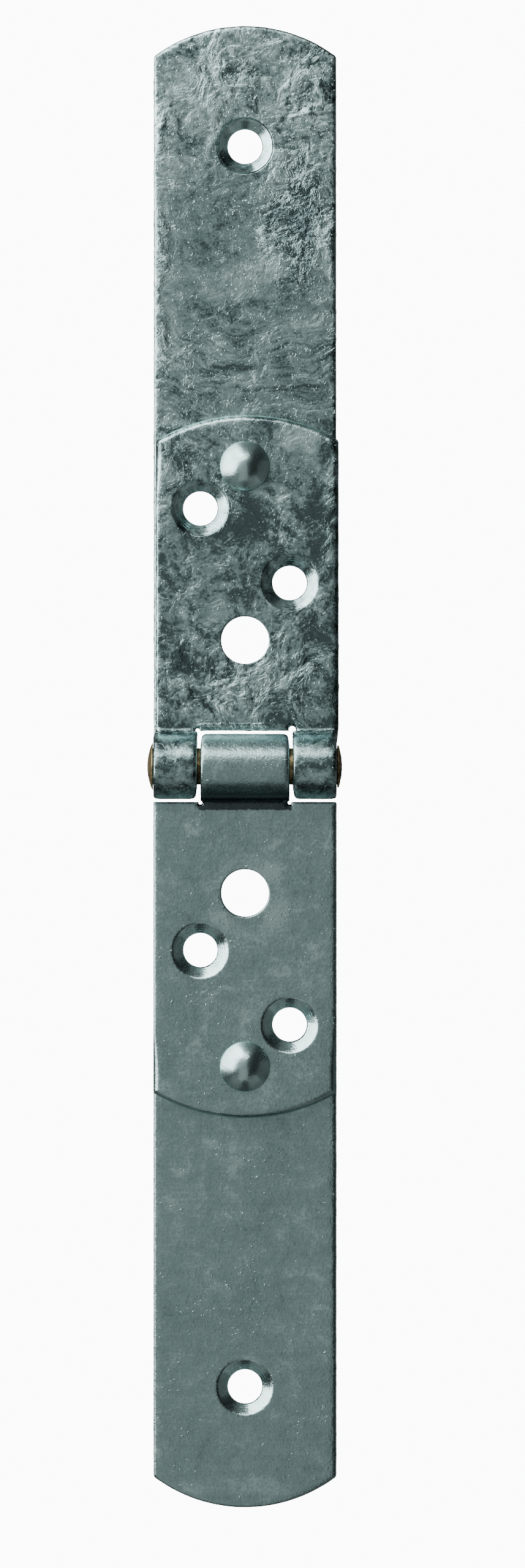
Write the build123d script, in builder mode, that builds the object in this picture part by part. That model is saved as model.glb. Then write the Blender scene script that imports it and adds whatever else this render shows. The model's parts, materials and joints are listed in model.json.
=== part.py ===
from build123d import *
import math
import os

os.makedirs("parts", exist_ok=True)

# Hatch hinge of hot-dip galvanised strip steel. Each leaf is one strap, rolled round the
# pin, folded back over itself and held shut by one domed rivet. The hinge lies open on its
# flat back: X runs along the pin, Y along the straps, and Z out of the front.

# The strip and its coat
steel_thickness = 2.5
zinc_thickness = 0.1
strap_width = 35.0
edge_round = 0.4
corner_round = 1.0

# The fold: the gap left between the layers, and the crease where the roll meets the tab
fold_gap = 0.15
crease_radius = 1.5

# The pin, and the room it has in the knuckles
pin_diameter = 7.0
pin_clearance = 0.05

# The middle knuckle, and the room round it and round the outer two
middle_knuckle_width = 17.0
side_gap = 0.5
end_gap = 0.5
corner_relief_radius = 0.6
rim_draw_in = 0.4

# Along a leaf, each place is set out from the one before, starting at the crease
crease_to_bolt = 16.4
bolt_to_near_screw = 10.9
near_to_far_screw = 14.2
far_screw_to_rivet = 7.9
rivet_to_tab_end = 9.9
tab_end_to_end_screw = 51.3
end_screw_to_strap_end = 23.0
screw_to_long_edge = 9.0

# How the shear crops the two ends of the strap
strap_end_radius = 29.0
tab_end_radius = 34.0

# The holes
bolt_hole_diameter = 9.0
bolt_hole_round = 0.3
screw_hole_diameter = 6.5
countersink_diameter = 11.0
countersink_angle = 90.0

# The rivet through both layers, domed in front and hammered flush behind
rivet_shank_diameter = 5.0
rivet_clearance = 0.03
rivet_head_diameter = 9.5
rivet_head_height = 3.0
rivet_rim_height = 0.3
rivet_foot_diameter = 7.6
rivet_foot_angle = 90.0

# The pin's formed head and its peened end
head_diameter = 8.9
head_height = 1.1
head_rim_height = 0.2
peened_diameter = 8.1
peened_height = 1.0
peened_rim_height = 0.35

# Worked out from the sizes above
strap_thickness = steel_thickness + 2 * zinc_thickness
bore_radius = pin_diameter / 2 + pin_clearance
knuckle_radius = bore_radius + strap_thickness
axis_height = knuckle_radius
tab_back = strap_thickness + fold_gap
tab_front = tab_back + strap_thickness
half_width = strap_width / 2
far_away = 2 * strap_width
touching = 0.01

# The crease touches both the roll and the flat tab
crease_height = tab_front + crease_radius
crease_rise = crease_height - axis_height
crease_reach = math.sqrt((knuckle_radius + crease_radius) ** 2 - crease_rise**2)
crease_tilt = math.degrees(math.atan2(crease_rise, crease_reach))
roll_sweep = 270 - crease_tilt
crease_sweep = 90 - crease_tilt

# The cut-outs end just past the other leaf's knuckle
cut_reach = knuckle_radius + end_gap
relief_reach = cut_reach + corner_relief_radius / 2
draw_in_reach = knuckle_radius / 2
past_roll = 2 * knuckle_radius
middle_half = middle_knuckle_width / 2
window_half = middle_half + side_gap

# Distances from the pin
bolt_reach = crease_reach + crease_to_bolt
near_screw_reach = bolt_reach + bolt_to_near_screw
far_screw_reach = near_screw_reach + near_to_far_screw
rivet_reach = far_screw_reach + far_screw_to_rivet
tab_reach = rivet_reach + rivet_to_tab_end
end_screw_reach = tab_reach + tab_end_to_end_screw
strap_reach = end_screw_reach + end_screw_to_strap_end
screw_offset = half_width - screw_to_long_edge

hinge_axis = Axis((0, 0, axis_height), (1, 0, 0))


def cone_depth(wide, narrow, angle):
    """How far a cone of that angle runs between its wide and its narrow diameter."""
    return (wide - narrow) / 2 / math.tan(math.radians(angle / 2))


def dome_radius(rim, rise):
    """The radius of a dome that rises that far over a rim of that radius."""
    return (rim**2 + rise**2) / (2 * rise)


def crop_end(reach, radius, bottom, top):
    """Shears one layer's end to an arc across the strap, with its crown at reach."""
    corner = reach - radius + math.sqrt(radius**2 - half_width**2)
    with BuildSketch(Plane.XY.offset(bottom)) as waste:
        with BuildLine():
            RadiusArc((-half_width, corner), (half_width, corner), radius)
            Line((half_width, corner), (far_away, corner))
            Line((far_away, corner), (far_away, reach + far_away))
            Line((far_away, reach + far_away), (-far_away, reach + far_away))
            Line((-far_away, reach + far_away), (-far_away, corner))
            Line((-far_away, corner), (-half_width, corner))
        make_face()
    extrude(waste.sketch, amount=top - bottom, mode=Mode.SUBTRACT)


def knuckle_side(edge, lean):
    """Draws a knuckle's side: straight past the pin, then leaning as its roll comes round."""
    foot = edge + lean
    Line((edge, cut_reach), (edge, -draw_in_reach))
    TangentArc((edge, -draw_in_reach), (foot, -knuckle_radius), tangent=(0, -1))
    Line((foot, -knuckle_radius), (foot, -past_roll))


def cut_corner_reliefs(edge):
    """Nibbles both inner corners of the cut-outs round."""
    with Locations((edge, relief_reach), (-edge, relief_reach)):
        Circle(corner_relief_radius)


def outer_rims(leaf):
    """The edges where a face meets a cut side: all but the upright ones and the seams where
    two faces run on into each other, which lie across the strap off the cut-outs' ends."""
    upright = leaf.edges().filter_by(Axis.Z)
    across = leaf.edges().filter_by(Axis.X)
    seams = [edge for edge in across if abs(edge.center().Y - cut_reach) > touching]
    return leaf.edges() - upright - seams


def pierce_leaf():
    """Drills one leaf through both layers, and its tail through the strap."""
    with Locations((0, bolt_reach, tab_front)):
        Hole(bolt_hole_diameter / 2)
    with Locations(
        (screw_offset, near_screw_reach, tab_front),
        (-screw_offset, far_screw_reach, tab_front),
        (0, end_screw_reach, strap_thickness),
    ):
        CounterSinkHole(
            screw_hole_diameter / 2,
            countersink_diameter / 2,
            counter_sink_angle=countersink_angle,
        )
    with Locations((0, rivet_reach, tab_front)):
        Hole(rivet_shank_diameter / 2 + rivet_clearance)
    foot_depth = cone_depth(rivet_foot_diameter, rivet_shank_diameter, rivet_foot_angle)
    with Locations((0, rivet_reach, foot_depth / 2)):
        Cone(
            rivet_foot_diameter / 2 + rivet_clearance,
            rivet_shank_diameter / 2 + rivet_clearance,
            foot_depth,
            mode=Mode.SUBTRACT,
        )


def bolt_rims(leaf):
    """The bolt hole's edges on the leaf's front and back."""
    circles = leaf.edges().filter_by(GeomType.CIRCLE)
    bolt = [edge for edge in circles if abs(edge.radius - bolt_hole_diameter / 2) < touching]
    rims = ShapeList(bolt).sort_by(Axis.Z)
    return [rims[0], rims[-1]]


def set_rivet(reach):
    """Sets a rivet at that place along Y, domed in front and flush behind."""
    shank = rivet_shank_diameter / 2
    head = rivet_head_diameter / 2
    foot = rivet_foot_diameter / 2
    foot_depth = cone_depth(rivet_foot_diameter, rivet_shank_diameter, rivet_foot_angle)
    rim_top = tab_front + rivet_rim_height
    crown = tab_front + rivet_head_height
    dome = dome_radius(head, rivet_head_height - rivet_rim_height)
    with BuildSketch(Plane.XZ.offset(-reach)) as profile:
        with BuildLine():
            Line((0, 0), (foot, 0))
            Line((foot, 0), (shank, foot_depth))
            Line((shank, foot_depth), (shank, tab_front))
            Line((shank, tab_front), (head, tab_front))
            Line((head, tab_front), (head, rim_top))
            RadiusArc((head, rim_top), (0, crown), -dome)
            Line((0, crown), (0, 0))
        make_face()
    revolve(profile.sketch, axis=Axis((0, reach, 0), (0, 0, 1)))


# The strap that both leaves are made from: rolled, creased, folded flat and cropped
with BuildPart() as folded_strap:
    roll_centre = (0, axis_height)
    crease_centre = (crease_reach, crease_height)
    with BuildSketch(Plane.YZ):
        with BuildLine():
            Line((strap_reach, 0), (0, 0))
            CenterArc(roll_centre, knuckle_radius, 270, -roll_sweep)
            CenterArc(crease_centre, crease_radius, 180 + crease_tilt, crease_sweep)
            Line((crease_reach, tab_front), (tab_reach, tab_front))
            Line((tab_reach, tab_front), (tab_reach, tab_back))
            Line((tab_reach, tab_back), (crease_reach, tab_back))
            CenterArc(crease_centre, crease_radius + strap_thickness, 270, -crease_sweep)
            CenterArc(roll_centre, bore_radius, crease_tilt, roll_sweep)
            Line((0, strap_thickness), (strap_reach, strap_thickness))
            Line((strap_reach, strap_thickness), (strap_reach, 0))
        make_face()
    extrude(amount=half_width, both=True)
    crop_end(strap_reach, strap_end_radius, 0, strap_thickness)
    crop_end(tab_reach, tab_end_radius, tab_back, tab_front)
    ends = folded_strap.edges().filter_by(Axis.Z)
    fillet([edge for edge in ends if edge.center().Y > cut_reach], corner_round)

# The upper leaf: a window for the middle knuckle leaves it the two outer ones
with BuildPart() as upper_leaf:
    add(folded_strap.part)
    window_foot = window_half + rim_draw_in
    with BuildSketch():
        with BuildLine():
            Line((-window_half, cut_reach), (window_half, cut_reach))
            knuckle_side(window_half, rim_draw_in)
            knuckle_side(-window_half, -rim_draw_in)
            Line((window_foot, -past_roll), (-window_foot, -past_roll))
        make_face()
        cut_corner_reliefs(window_half)
    extrude(amount=past_roll, mode=Mode.SUBTRACT)
    fillet(outer_rims(upper_leaf), edge_round)
    pierce_leaf()
    fillet(bolt_rims(upper_leaf), bolt_hole_round)
upper_leaf.part.label = "upper_leaf"
export_step(upper_leaf.part, "parts/upper_leaf.step")

# The lower leaf: a notch at each side leaves it the middle knuckle. It is drawn like the
# upper one and turned end for end, so its screws come out on the other side.
with BuildPart() as lower_leaf:
    add(folded_strap.part)
    middle_foot = middle_half - rim_draw_in
    with BuildSketch():
        with BuildLine():
            knuckle_side(middle_half, -rim_draw_in)
            Line((middle_foot, -past_roll), (far_away, -past_roll))
            Line((far_away, -past_roll), (far_away, cut_reach))
            Line((far_away, cut_reach), (middle_half, cut_reach))
        make_face()
        mirror(about=Plane.YZ)
        cut_corner_reliefs(middle_half)
    extrude(amount=past_roll, mode=Mode.SUBTRACT)
    fillet(outer_rims(lower_leaf), edge_round)
    pierce_leaf()
    fillet(bolt_rims(lower_leaf), bolt_hole_round)
lower_leaf.part = lower_leaf.part.rotate(Axis.Z, 180)
lower_leaf.part.label = "lower_leaf"
export_step(lower_leaf.part, "parts/lower_leaf.step")

# The pin: a formed dome at the left, and an end peened over at the right
with BuildPart() as hinge_pin:
    pin_radius = pin_diameter / 2
    head = head_diameter / 2
    head_rim = -half_width - head_rim_height
    head_crown = -half_width - head_height
    head_dome = dome_radius(head, head_height - head_rim_height)
    peened = peened_diameter / 2
    peened_rim = half_width + peened_rim_height
    peened_crown = half_width + peened_height
    peened_dome = dome_radius(peened, peened_height - peened_rim_height)
    with BuildSketch(Plane.XY.offset(axis_height)):
        with BuildLine():
            RadiusArc((head_crown, 0), (head_rim, head), head_dome)
            Line((head_rim, head), (-half_width, head))
            Line((-half_width, head), (-half_width, pin_radius))
            Line((-half_width, pin_radius), (half_width, pin_radius))
            Line((half_width, pin_radius), (half_width, peened))
            Line((half_width, peened), (peened_rim, peened))
            RadiusArc((peened_rim, peened), (peened_crown, 0), peened_dome)
            Line((peened_crown, 0), (head_crown, 0))
        make_face()
    revolve(axis=hinge_axis)
hinge_pin.part.label = "hinge_pin"
export_step(hinge_pin.part, "parts/hinge_pin.step")

# One rivet closes each fold
with BuildPart() as upper_rivet:
    set_rivet(rivet_reach)
upper_rivet.part.label = "upper_rivet"
export_step(upper_rivet.part, "parts/upper_rivet.step")

with BuildPart() as lower_rivet:
    set_rivet(-rivet_reach)
lower_rivet.part.label = "lower_rivet"
export_step(lower_rivet.part, "parts/lower_rivet.step")
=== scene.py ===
"""Dresses the hatch hinge: two folded, galvanised straps on a brass pin, with domed rivets.

Each strap starts as a flat blank with its window, notches and holes, and a node tree folds it
round the pin as the real one is folded. X runs along the pin, Y along the straps, Z out of
the front. Lengths are metres.
"""

import functools
import json
import math

import bpy
import numpy as np
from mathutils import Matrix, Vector, geometry, kdtree


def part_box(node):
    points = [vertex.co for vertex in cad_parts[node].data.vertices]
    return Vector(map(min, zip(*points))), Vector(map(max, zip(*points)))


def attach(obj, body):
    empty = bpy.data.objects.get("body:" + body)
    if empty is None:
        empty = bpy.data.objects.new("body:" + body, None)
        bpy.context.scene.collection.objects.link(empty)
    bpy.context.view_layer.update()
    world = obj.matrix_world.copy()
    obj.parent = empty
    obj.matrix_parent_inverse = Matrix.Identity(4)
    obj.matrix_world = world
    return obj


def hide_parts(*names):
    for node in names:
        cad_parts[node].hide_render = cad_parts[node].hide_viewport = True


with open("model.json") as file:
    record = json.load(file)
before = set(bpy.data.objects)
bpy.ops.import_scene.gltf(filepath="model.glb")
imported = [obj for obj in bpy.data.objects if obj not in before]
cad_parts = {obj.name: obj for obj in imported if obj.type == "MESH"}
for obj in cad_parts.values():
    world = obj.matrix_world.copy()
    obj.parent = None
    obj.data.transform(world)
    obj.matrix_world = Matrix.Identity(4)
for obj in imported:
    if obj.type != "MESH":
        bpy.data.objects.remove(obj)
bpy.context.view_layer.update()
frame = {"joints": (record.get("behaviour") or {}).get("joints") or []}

bl_info = {
    "name": "Hatch hinge",
    "version": (1, 0, 0),
    "blender": (4, 5, 0),
    "location": "3D View > Sidebar > Hinge",
    "description": "Makes a galvanised hatch hinge with two folded straps",
    "category": "Object",
}

MM = 0.001
LEAF_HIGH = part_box("upper_leaf")[1]
PIN_LOW, PIN_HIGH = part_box("hinge_pin")
RIVET_LOW, RIVET_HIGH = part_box("upper_rivet")
PIN_AXIS_HEIGHT = frame["joints"][0]["pos_m"][2]
PICTURE_HEIGHT = 299.4 * MM  # of the hinge's plane that the picture shows
PICTURE_SHIFT = 3.33 * MM  # of the picture's middle to the right of the pin's and below it
OUTER, INNER = 0, 1  # the two skins of a strap, as seen from the middle of its roll
FAR_OFF = 0.1  # a distance that says that a place is near no countersink
RING_STEP = 0.45 * MM  # between points round a hole
SINK_RINGS = (3.6, 4.0, 4.4, 4.75, 4.95, 5.1, 5.25, 5.4, 5.55, 5.9)  # radii in millimetres


def length(name, default, description):
    """A size in metres that a user may change."""
    return bpy.props.FloatProperty(
        name=name, default=default, description=description, unit="LENGTH", precision=5
    )


def colour(name, default, description):
    """A colour that a user may change."""
    return bpy.props.FloatVectorProperty(
        name=name, default=default, description=description, subtype="COLOR", min=0, max=1
    )


def amount(name, default, description):
    """A plain number that a user may change."""
    return bpy.props.FloatProperty(name=name, default=default, description=description)


class StrapSizes(bpy.types.PropertyGroup):
    """The strap, its fold and its holes, and what goes through them."""

    thickness: length("Thickness", 2.7 * MM, "The strip with its zinc coat")
    fold_gap: length("Fold gap", 0.15 * MM, "Room between the folded layers")
    crease_radius: length("Crease radius", 1.5 * MM, "Hollow side of the crease")
    edge_round: length("Edge rounding", 0.5 * MM, "How far the zinc rounds each edge")
    tab_round: length("Tab end rounding", 1.2 * MM, "How far the zinc rounds the tab's end")
    end_gap: length("End gap", 0.5 * MM, "From a knuckle to the cut-out that it turns in")
    side_gap: length("Side gap", 0.5 * MM, "Between two knuckles")
    middle_width: length("Middle knuckle", 17.0 * MM, "Width of the middle knuckle")
    stagger: length("Stagger", 0.45 * MM, "How far the upper tab lies out of line")
    draw_in: length("Draw-in", 0.4 * MM, "How far a roll's inner edge leans as it comes round")
    wide_relief: length("Wide corner relief", 0.6 * MM, "Nibble at the window's right corner")
    relief_radius: length("Corner relief", 0.32 * MM, "Nibble in the other corners")
    slump: length("Zinc slump", 0.12 * MM, "How far the faces fall away towards the edges")
    corner_round: length("Corner rounding", 1.0 * MM, "At the corners of the two ends")
    strap_end_radius: length("Strap end arc", 29.0 * MM, "Crop of the long end")
    tab_end_radius: length("Tab end arc", 34.0 * MM, "Crop of the folded end")
    tab_reach: length("Tab reach", 67.0 * MM, "From the pin to the tab's end")
    bolt_reach: length("Bolt hole", 24.1 * MM, "From the pin to the bolt hole")
    near_reach: length("Near screw", 35.0 * MM, "From the pin to the near screw hole")
    far_reach: length("Far screw", 49.2 * MM, "From the pin to the far screw hole")
    rivet_reach: length("Rivet", 57.1 * MM, "From the pin to the rivet")
    end_reach: length("End screw", 118.3 * MM, "From the pin to the end screw hole")
    screw_offset: length("Screw offset", 8.5 * MM, "Of the paired screws from the middle")
    bolt_radius: length("Bolt hole radius", 4.5 * MM, "Plain hole")
    screw_radius: length("Screw hole radius", 3.25 * MM, "Under the countersink")
    sink_radius: length("Countersink radius", 5.25 * MM, "At the face")
    rivet_hole_radius: length("Rivet hole radius", 2.53 * MM, "Through both layers")
    shank_radius: length("Rivet shank radius", 2.5 * MM, "In its hole")
    foot_radius: length("Rivet foot radius", 3.8 * MM, "Flush foot in the back")
    pin_radius: length("Pin radius", 3.5 * MM, "Through the knuckles")
    pin_head_radius: length("Pin head radius", 4.45 * MM, "Low dome at the left")
    peened_radius: length("Peened radius", 4.05 * MM, "Spread end at the right")
    mesh_step: length("Mesh step", 0.55 * MM, "Spacing of the blank's points")


class ZincLook(bpy.types.PropertyGroup):
    """Colours and relief of the zinc and the brass."""

    bright: colour("Bright zinc", (0.68, 0.94, 0.92), "Freshly wiped spots")
    body: colour("Zinc", (0.4, 0.575, 0.57), "The even grey between")
    dark: colour("Dark zinc", (0.11, 0.165, 0.17), "Thin and stained spots")
    brass: colour("Brass", (0.5, 0.4, 0.2), "The pin")
    tarnish: colour("Tarnish", (0.1, 0.085, 0.05), "Dull film on the pin")
    upper_relief: length("Upper relief", 0.09 * MM, "Depth of the upper strap's lumps")
    lower_relief: length("Lower relief", 0.045 * MM, "Depth of the lower strap's lumps")


class StageLook(bpy.types.PropertyGroup):
    """The floor, the lights and the camera."""

    floor: colour("Floor", (0.82, 0.83, 0.83), "Pale floor")
    glow: amount("Floor glow", 14.0, "How brightly the floor and the room look in a picture")
    key_light: amount("Key light", 2.8, "Brightness of the soft light beyond the top")
    left_light: amount("Left light", 4.6, "Brightness of the near light at the upper left")
    back_light: amount("Back light", 0.1, "Brightness low behind the top")
    right_light: amount("Right light", 0.08, "Brightness low at the right")
    front_light: amount("Front lights", 0.15, "Brightness low beyond the bottom")
    ambient: amount("Ambient", 0.3, "Brightness overhead")
    camera_height: length("Camera height", 1.5, "Above the plane of the hinge's back")


def both_ways(operation):
    """An operator's two methods, for wire + 1 and for 1 + wire."""

    def forward(wire, other):
        return wire.graph.maths(operation, wire, other)

    def reflected(wire, other):
        return wire.graph.maths(operation, other, wire)

    return forward, reflected


class Wire:
    """A socket that can stand in a sum, such as 1 - mask * 0.4."""

    __add__, __radd__ = both_ways("ADD")
    __sub__, __rsub__ = both_ways("SUBTRACT")
    __mul__, __rmul__ = both_ways("MULTIPLY")
    __truediv__, __rtruediv__ = both_ways("DIVIDE")
    __pow__, __rpow__ = both_ways("POWER")
    __gt__, __lt__ = both_ways("GREATER_THAN")

    def __init__(self, graph, socket):
        self.graph = graph
        self.socket = socket

    def absolute(self):
        """The value without its sign."""
        return self.graph.maths("ABSOLUTE", self)

    def sign(self):
        """-1 or 1."""
        return self.graph.maths("SIGN", self)

    def sine(self):
        """The sine of an angle."""
        return self.graph.maths("SINE", self)

    def cosine(self):
        """The cosine of an angle."""
        return self.graph.maths("COSINE", self)

    def clamp(self):
        """The value held between 0 and 1."""
        return self.graph.add("ShaderNodeClamp", {}, {"Value": self, "Min": 0.0, "Max": 1.0})

    def choose(self, otherwise, value):
        """The value where this wire is true."""
        return self.graph.add(
            "GeometryNodeSwitch",
            {"input_type": "FLOAT"},
            {"Switch": self, "False": otherwise, "True": value},
        )

    def split(self):
        """The three parts of a vector."""
        parts = self.graph.add("ShaderNodeSeparateXYZ", {}, {"Vector": self}).socket.node
        return [Wire(self.graph, output) for output in parts.outputs]


class Graph:
    """A node tree that is written as expressions."""

    def __init__(self, tree):
        self.tree = tree

    def add(self, kind, settings=None, values=None, out=0):
        """Adds a node with those settings and socket values. The wire is its output out."""
        node = self.tree.nodes.new(kind)
        for name, value in (settings or {}).items():
            setattr(node, name, value)
        for key, value in (values or {}).items():
            self.plug(node.inputs[key], value)
        return Wire(self, node.outputs[out])

    def plug(self, socket, value):
        """Links a wire to a socket, or sets the socket's own value."""
        if isinstance(value, Wire):
            self.tree.links.new(value.socket, socket)
        elif hasattr(value, "__len__") and len(value) == 3 and socket.type == "RGBA":
            socket.default_value = (*value, 1)
        else:
            socket.default_value = value

    def maths(self, operation, *values):
        """A Math node on those numbers or wires."""
        return self.add("ShaderNodeMath", {"operation": operation}, dict(enumerate(values)))

    def fade(self, value, low, high):
        """0 below low, 1 above high, and smooth between. Low may be the larger."""
        return self.add(
            "ShaderNodeMapRange",
            {"interpolation_type": "SMOOTHSTEP"},
            {"Value": value, "From Min": low, "From Max": high},
        )

    def blend(self, share, first, second):
        """Goes from the first colour to the second as share goes from 0 to 1."""
        return self.add(
            "ShaderNodeMix", {"data_type": "RGBA"}, {0: share, 6: first, 7: second}, out=2
        )

    def noise(self, place, wave, detail=4.0, rough=0.55, warp=0.0):
        """Cloudy noise whose waves are that many metres long."""
        shape = {"Detail": detail, "Roughness": rough, "Distortion": warp}
        return self.add("ShaderNodeTexNoise", {}, {"Vector": place, "Scale": 1 / wave, **shape})

    def vector(self, operation, *values, scale=None, out=0):
        """A Vector Math node."""
        inputs = dict(enumerate(values))
        if scale is not None:
            inputs["Scale"] = scale
        return self.add("ShaderNodeVectorMath", {"operation": operation}, inputs, out=out)


def settings():
    """The three groups of settings of the open scene."""
    scene = bpy.context.scene
    return scene.hinge_strap, scene.hinge_zinc, scene.hinge_stage


class Fold:
    """How a strap's middle layer is folded, in numbers or in the wires of a node tree.

    Arctan is math.atan2, or does the same with wires.
    """

    def __init__(self, thickness, gap, crease_radius, axis, arctan):
        self.half = thickness / 2
        self.roll = axis - self.half
        self.tab_height = thickness + gap + self.half
        self.crease = crease_radius + self.half
        self.crease_height = self.tab_height + self.crease
        rise = self.crease_height - axis
        self.crease_reach = ((self.roll + self.crease) ** 2 - rise**2) ** 0.5
        self.tilt = arctan(rise, self.crease_reach)
        self.roll_length = self.roll * (1.5 * math.pi - self.tilt)
        self.crease_length = self.crease * (0.5 * math.pi - self.tilt)
        self.tab_start = self.roll_length + self.crease_length

    def on_tab(self, reach):
        """The place along the blank of what lies that far from the pin on the tab."""
        return self.tab_start + reach - self.crease_reach

    def on_crease(self, reach):
        """The place along the blank where the crease lies that far from the pin."""
        turn = math.pi / 2 - self.tilt - math.asin((self.crease_reach - reach) / self.crease)
        return self.roll_length + self.crease * turn


def arc_end(reach, radius, half_width, corner, step):
    """Points across a cropped end from left to right, its crown at reach, its corners rounded."""
    centre = reach - radius
    side = half_width - corner
    turn = math.asin(side / (radius - corner))
    lift = centre + (radius - corner) * math.cos(turn)
    arc = np.linspace(-turn, turn, round(2 * turn * radius / step))
    crop = [(radius * math.sin(a), centre + radius * math.cos(a)) for a in arc]
    bend = np.linspace(turn, math.pi / 2, 6)[1:]
    right = [(side + corner * math.sin(a), lift + corner * math.cos(a)) for a in bend]
    left = [(-x, y) for x, y in reversed(right)]
    return left + crop + right


def straight(start, end, count):
    """Points from start up to, but not including, end, in that many equal steps."""
    return [
        (start[0] + (end[0] - start[0]) * i / count, start[1] + (end[1] - start[1]) * i / count)
        for i in range(count)
    ]


def chain(stretches, step):
    """Joins stretches of points with evenly spaced ones, and closes the loop."""
    loop = []
    for stretch, following in zip(stretches, stretches[1:] + stretches[:1]):
        start, end = stretch[-1], following[0]
        count = max(1, round(math.dist(start, end) / step))
        loop += stretch + straight(start, end, count)[1:]
    return loop


def mirrored(stretches):
    """The same stretches on the other side of the strap, run through backwards."""
    return [[(-x, s) for x, s in reversed(stretch)] for stretch in reversed(stretches)]


def softened(corner, before, after, radius):
    """A corner's points, rounded by that radius between two other places."""
    first = Vector(before) - Vector(corner)
    second = Vector(after) - Vector(corner)
    start = Vector(corner) + first.normalized() * radius
    end = Vector(corner) + second.normalized() * radius
    points = []
    for i in range(6):
        t = i / 5
        point = start * (1 - t) ** 2 + Vector(corner) * 2 * t * (1 - t) + end * t**2
        points.append((point.x, point.y))
    return points


def search_tree(points):
    """Finds the nearest of some points in a plane."""
    tree = kdtree.KDTree(len(points))
    for i, (x, s) in enumerate(points):
        tree.insert((x, s, 0), i)
    tree.balance()
    return tree


def ring_turns(radius):
    """Angles of points round a circle, about a ring step apart."""
    return np.linspace(0, 2 * math.pi, round(2 * math.pi * radius / RING_STEP) + 1)[:-1]


class Loop:
    """One closed edge of the blank, with the metal on its left."""

    def __init__(self, points, hole, rim):
        line = np.array(points)
        area = np.sum(line[:, 0] * np.roll(line[:, 1], -1) - line[:, 1] * np.roll(line[:, 0], -1))
        if (area < 0) != hole:
            line = line[::-1]
        self.points = line
        self.rim = rim
        along = np.roll(line, -1, 0) - np.roll(line, 1, 0)
        along /= np.linalg.norm(along, axis=1)[:, None]
        self.inward = np.column_stack([-along[:, 1], along[:, 0]])
        self.tree = search_tree(line)

    def distance(self, places):
        """How far each place lies from the loop."""
        line = self.points
        found = np.array([self.tree.find((x, s, 0))[1] for x, s in places])
        best = np.full(len(places), np.inf)
        for shift in (-1, 0):
            start = line[(found + shift) % len(line)]
            span = line[(found + shift + 1) % len(line)] - start
            share = np.sum((places - start) * span, 1) / np.sum(span * span, 1)
            foot = start + span * np.clip(share, 0, 1)[:, None]
            best = np.minimum(best, np.linalg.norm(places - foot, axis=1))
        return best

    def holds(self, places):
        """Whether each place is inside the loop."""
        inside = np.zeros(len(places), bool)
        for (x0, s0), (x1, s1) in zip(self.points, np.roll(self.points, -1, 0)):
            if s0 == s1:
                continue
            crosses = (s0 > places[:, 1]) != (s1 > places[:, 1])
            inside ^= crosses & (places[:, 0] < (x1 - x0) * (places[:, 1] - s0) / (s1 - s0) + x0)
        return inside


def rounding(distance, radius):
    """How deep a rounded edge lies at that distance in from it."""
    left = np.clip(radius - distance, 0, radius)
    return radius - np.sqrt(radius**2 - left**2)


def countersink(distance, sizes):
    """How deep a countersink lies at that distance from its middle, part filled with zinc."""
    soft = 0.3 * MM
    steepness = 0.8
    slope = (sizes.sink_radius - distance) * steepness
    blend = np.clip(slope + soft, 0, 2 * soft) ** 2 / (4 * soft)
    return np.where(slope > soft, slope, blend)


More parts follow.
